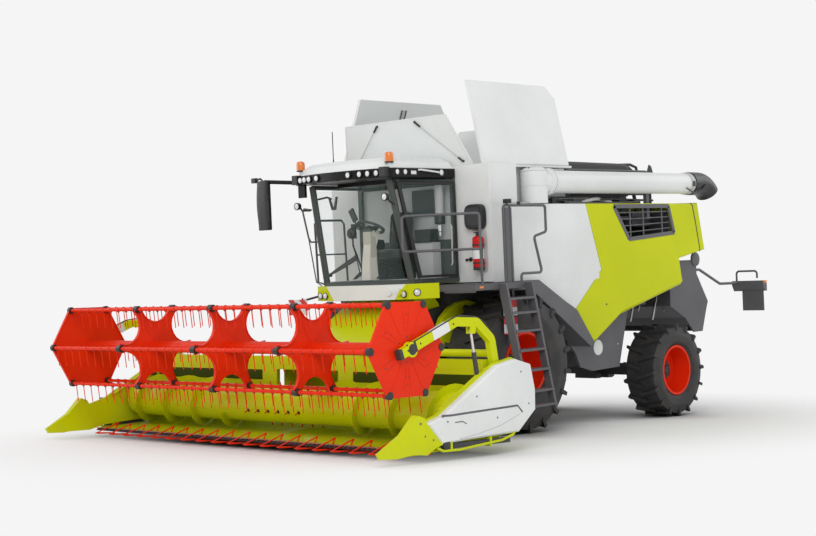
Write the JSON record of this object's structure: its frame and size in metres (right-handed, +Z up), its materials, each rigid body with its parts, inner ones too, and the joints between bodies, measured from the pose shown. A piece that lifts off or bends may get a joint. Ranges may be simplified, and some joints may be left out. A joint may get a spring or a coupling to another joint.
{
  "type": "combine harvester",
  "caption": "Self-propelled combine harvester with a wide cutting header and reel, glazed cab, open grain tank flaps, stowed unloading tube, straw chopper and large lugged front tyres.",
  "frame": {"origin": "on the ground under the middle of the bounding box", "axes": "+Z up, -Y forward (the header is at -Y), +X the machine's left"},
  "size_m": [6.4004, 10.5832, 4.8448],
  "materials": {
    "tyre": "matte",
    "red_paint": "satin",
    "lime_paint": "satin",
    "white_paint": "satin",
    "grey_paint": "satin",
    "dark_paint": "satin",
    "glass": "clear",
    "black_plastic": "matte",
    "seat_fabric": "woven",
    "bright_steel": "polished",
    "engine_metal": "rough",
    "steel": "worn"
  },
  "bodies": {
    "chassis": {"hull": "grey_paint", "bulkheads": "grey_paint", "tank_front_wall": "white_paint", "front_axle": "dark_paint", "rear_axle": "dark_paint", "grain_tank": "white_paint", "engine": "engine_metal", "engine_deck": "grey_paint", "side_panels": "white_paint", "rear_hood": "lime_paint", "chopper": "grey_paint", "guards": "grey_paint", "platform": "dark_paint", "ladder": "grey_paint", "cab_shell": "dark_paint", "cab_glass": "glass", "cab_roof": "white_paint", "cab_apron": "white_paint", "seat": "seat_fabric"},
    "wheel_front_left": {"tyre_front_left": "tyre", "rim_front_left": "red_paint"},
    "wheel_front_right": {"tyre_front_right": "tyre", "rim_front_right": "red_paint"},
    "steering_knuckle_left": {"knuckle_left": "dark_paint"},
    "steering_knuckle_right": {"knuckle_right": "dark_paint"},
    "wheel_rear_left": {"tyre_rear_left": "tyre", "rim_rear_left": "red_paint"},
    "wheel_rear_right": {"tyre_rear_right": "tyre", "rim_rear_right": "red_paint"},
    "side_door_left": {"door_left": "lime_paint"},
    "side_door_right": {"door_right": "lime_paint"},
    "cabin_door": {"cab_door": "dark_paint", "cab_door_glass": "glass"},
    "unloader": {"unloading_auger": "white_paint", "spout": "black_plastic"},
    "tank_flap_left": {"flap_left": "white_paint"},
    "tank_flap_right": {"flap_right": "white_paint"},
    "tank_flap_front": {"flap_front": "white_paint"},
    "tank_flap_rear": {"flap_rear": "white_paint"},
    "header": {"feeder_house": "lime_paint", "header_table": "lime_paint", "header_ends": "lime_paint", "header_covers": "white_paint", "knife": "red_paint"},
    "lift_cylinders": {"lift_barrels": "dark_paint"},
    "lift_cylinder_rods": {"lift_rods": "bright_steel"},
    "crop_auger": {"intake_auger": "lime_paint"},
    "reel_carrier": {"reel_arms": "lime_paint"},
    "reel_cylinders": {"reel_barrels": "dark_paint"},
    "reel_cylinder_rods": {"reel_rods": "bright_steel"},
    "reel_rotor": {"reel": "red_paint"},
    "tine_row_1": {"tine_bar_1": "red_paint"},
    "tine_row_2": {"tine_bar_2": "red_paint"},
    "tine_row_3": {"tine_bar_3": "red_paint"},
    "tine_row_4": {"tine_bar_4": "red_paint"},
    "tine_row_5": {"tine_bar_5": "red_paint"},
    "tine_row_6": {"tine_bar_6": "red_paint"}
  },
  "joints": [
    {"name": "front_wheel_left_roll", "type": "hinge", "parent": "chassis", "child": "wheel_front_left", "pos_m": [1.325, -0.89155, 0.93], "axis": [1, 0, 0], "continuous": true},
    {"name": "front_wheel_right_roll", "type": "hinge", "parent": "chassis", "child": "wheel_front_right", "pos_m": [-1.325, -0.89155, 0.93], "axis": [1, 0, 0], "continuous": true},
    {"name": "steer_left", "type": "hinge", "parent": "chassis", "child": "steering_knuckle_left", "pos_m": [0.905, 2.87545, 0.705], "axis": [0, 0, 1], "range_deg": [-35, 35]},
    {"name": "steer_right", "type": "hinge", "parent": "chassis", "child": "steering_knuckle_right", "pos_m": [-0.905, 2.87545, 0.705], "axis": [0, 0, 1], "range_deg": [-35, 35]},
    {"name": "rear_wheel_left_roll", "type": "hinge", "parent": "steering_knuckle_left", "child": "wheel_rear_left", "pos_m": [1.325, 2.87545, 0.705], "axis": [1, 0, 0], "continuous": true},
    {"name": "rear_wheel_right_roll", "type": "hinge", "parent": "steering_knuckle_right", "child": "wheel_rear_right", "pos_m": [-1.325, 2.87545, 0.705], "axis": [1, 0, 0], "continuous": true},
    {"name": "side_door_left_lift", "type": "hinge", "parent": "chassis", "child": "side_door_left", "pos_m": [1.48, 1.81156, 3.21008], "axis": [0, -0.999, -0.0436], "range_deg": [0, 65]},
    {"name": "side_door_right_lift", "type": "hinge", "parent": "chassis", "child": "side_door_right", "pos_m": [-1.48, 1.81156, 3.21008], "axis": [0, 0.999, 0.0436], "range_deg": [0, 65]},
    {"name": "cabin_door_swing", "type": "hinge", "parent": "chassis", "child": "cabin_door", "pos_m": [0.869, -2.15662, 2.09593], "axis": [0.0538, 0.2501, -0.9667], "range_deg": [0, 58]},
    {"name": "unloader_swing", "type": "hinge", "parent": "chassis", "child": "unloader", "pos_m": [1.43, -0.39308, 3.15386], "axis": [0, 0.0436, -0.999], "range_deg": [0, 100]},
    {"name": "tank_flap_left_fold", "type": "hinge", "parent": "chassis", "child": "tank_flap_left", "pos_m": [1.335, -0.41089, 3.67638], "axis": [0, -0.999, -0.0436], "range_deg": [0, 64]},
    {"name": "tank_flap_right_fold", "type": "hinge", "parent": "chassis", "child": "tank_flap_right", "pos_m": [-1.335, -0.41089, 3.67638], "axis": [0, 0.999, 0.0436], "range_deg": [0, 54]},
    {"name": "tank_flap_front_fold", "type": "hinge", "parent": "chassis", "child": "tank_flap_front", "pos_m": [0, -1.40994, 3.63276], "axis": [-1, 0, 0], "range_deg": [0, 110]},
    {"name": "tank_flap_rear_fold", "type": "hinge", "parent": "chassis", "child": "tank_flap_rear", "pos_m": [0, 0.56817, 3.71913], "axis": [1, 0, 0], "range_deg": [0, 110]},
    {"name": "header_lift", "type": "hinge", "parent": "chassis", "child": "header", "pos_m": [0, -1.77155, 1.56], "axis": [-1, 0, 0], "range_deg": [0, 18]},
    {"name": "lift_cylinder_tilt", "type": "hinge", "parent": "chassis", "child": "lift_cylinders", "pos_m": [0, -1.22155, 0.76], "axis": [-1, 0, 0], "range_deg": [0, 11.8]},
    {"name": "lift_cylinder_stroke", "type": "slide", "parent": "lift_cylinders", "child": "lift_cylinder_rods", "axis": [0, -0.9962, -0.0873], "range_m": [0, 0.253]},
    {"name": "crop_auger_spin", "type": "hinge", "parent": "header", "child": "crop_auger", "pos_m": [0, -3.75156, 0.5], "axis": [1, 0, 0], "continuous": true},
    {"name": "reel_lift", "type": "hinge", "parent": "header", "child": "reel_carrier", "pos_m": [0, -3.22155, 0.93], "axis": [-1, 0, 0], "range_deg": [-4, 22]},
    {"name": "reel_cylinder_tilt", "type": "hinge", "parent": "header", "child": "reel_cylinders", "pos_m": [0, -3.53155, 0.83], "axis": [-1, 0, 0], "range_deg": [-3.7, 19.6]},
    {"name": "reel_cylinder_stroke", "type": "slide", "parent": "reel_cylinders", "child": "reel_cylinder_rods", "axis": [0, -0.1993, 0.9799], "range_m": [-0.024, 0.122]},
    {"name": "reel_spin", "type": "hinge", "parent": "reel_carrier", "child": "reel_rotor", "pos_m": [0, -4.67056, 1.247], "axis": [1, 0, 0], "continuous": true},
    {"name": "tine_row_1_level", "type": "hinge", "parent": "reel_rotor", "child": "tine_row_1", "pos_m": [0, -4.10269, 1.25939], "axis": [1, 0, 0], "continuous": true},
    {"name": "tine_row_2_level", "type": "hinge", "parent": "reel_rotor", "child": "tine_row_2", "pos_m": [0, -4.39735, 1.74498], "axis": [1, 0, 0], "continuous": true},
    {"name": "tine_row_3_level", "type": "hinge", "parent": "reel_rotor", "child": "tine_row_3", "pos_m": [0, -4.96522, 1.73259], "axis": [1, 0, 0], "continuous": true},
    {"name": "tine_row_4_level", "type": "hinge", "parent": "reel_rotor", "child": "tine_row_4", "pos_m": [0, -5.23842, 1.23461], "axis": [1, 0, 0], "continuous": true},
    {"name": "tine_row_5_level", "type": "hinge", "parent": "reel_rotor", "child": "tine_row_5", "pos_m": [0, -4.94376, 0.74902], "axis": [1, 0, 0], "continuous": true},
    {"name": "tine_row_6_level", "type": "hinge", "parent": "reel_rotor", "child": "tine_row_6", "pos_m": [0, -4.37589, 0.76141], "axis": [1, 0, 0], "continuous": true}
  ],
  "couplings": [
    {"joint": "steer_right", "follows": "steer_left", "ratio": 1},
    {"joint": "tank_flap_right_fold", "follows": "tank_flap_left_fold", "ratio": 0.84375},
    {"joint": "tank_flap_rear_fold", "follows": "tank_flap_front_fold", "ratio": 1},
    {"joint": "lift_cylinder_tilt", "follows": "header_lift", "ratio": 0.62852},
    {"joint": "lift_cylinder_stroke", "follows": "header_lift", "m_per_rad": 0.79179},
    {"joint": "reel_cylinder_tilt", "follows": "reel_lift", "ratio": 0.87995},
    {"joint": "reel_cylinder_stroke", "follows": "reel_lift", "m_per_rad": 0.31348},
    {"joint": "tine_row_1_level", "follows": "reel_spin", "ratio": -1},
    {"joint": "tine_row_2_level", "follows": "reel_spin", "ratio": -1},
    {"joint": "tine_row_3_level", "follows": "reel_spin", "ratio": -1},
    {"joint": "tine_row_4_level", "follows": "reel_spin", "ratio": -1},
    {"joint": "tine_row_5_level", "follows": "reel_spin", "ratio": -1},
    {"joint": "tine_row_6_level", "follows": "reel_spin", "ratio": -1}
  ]
}
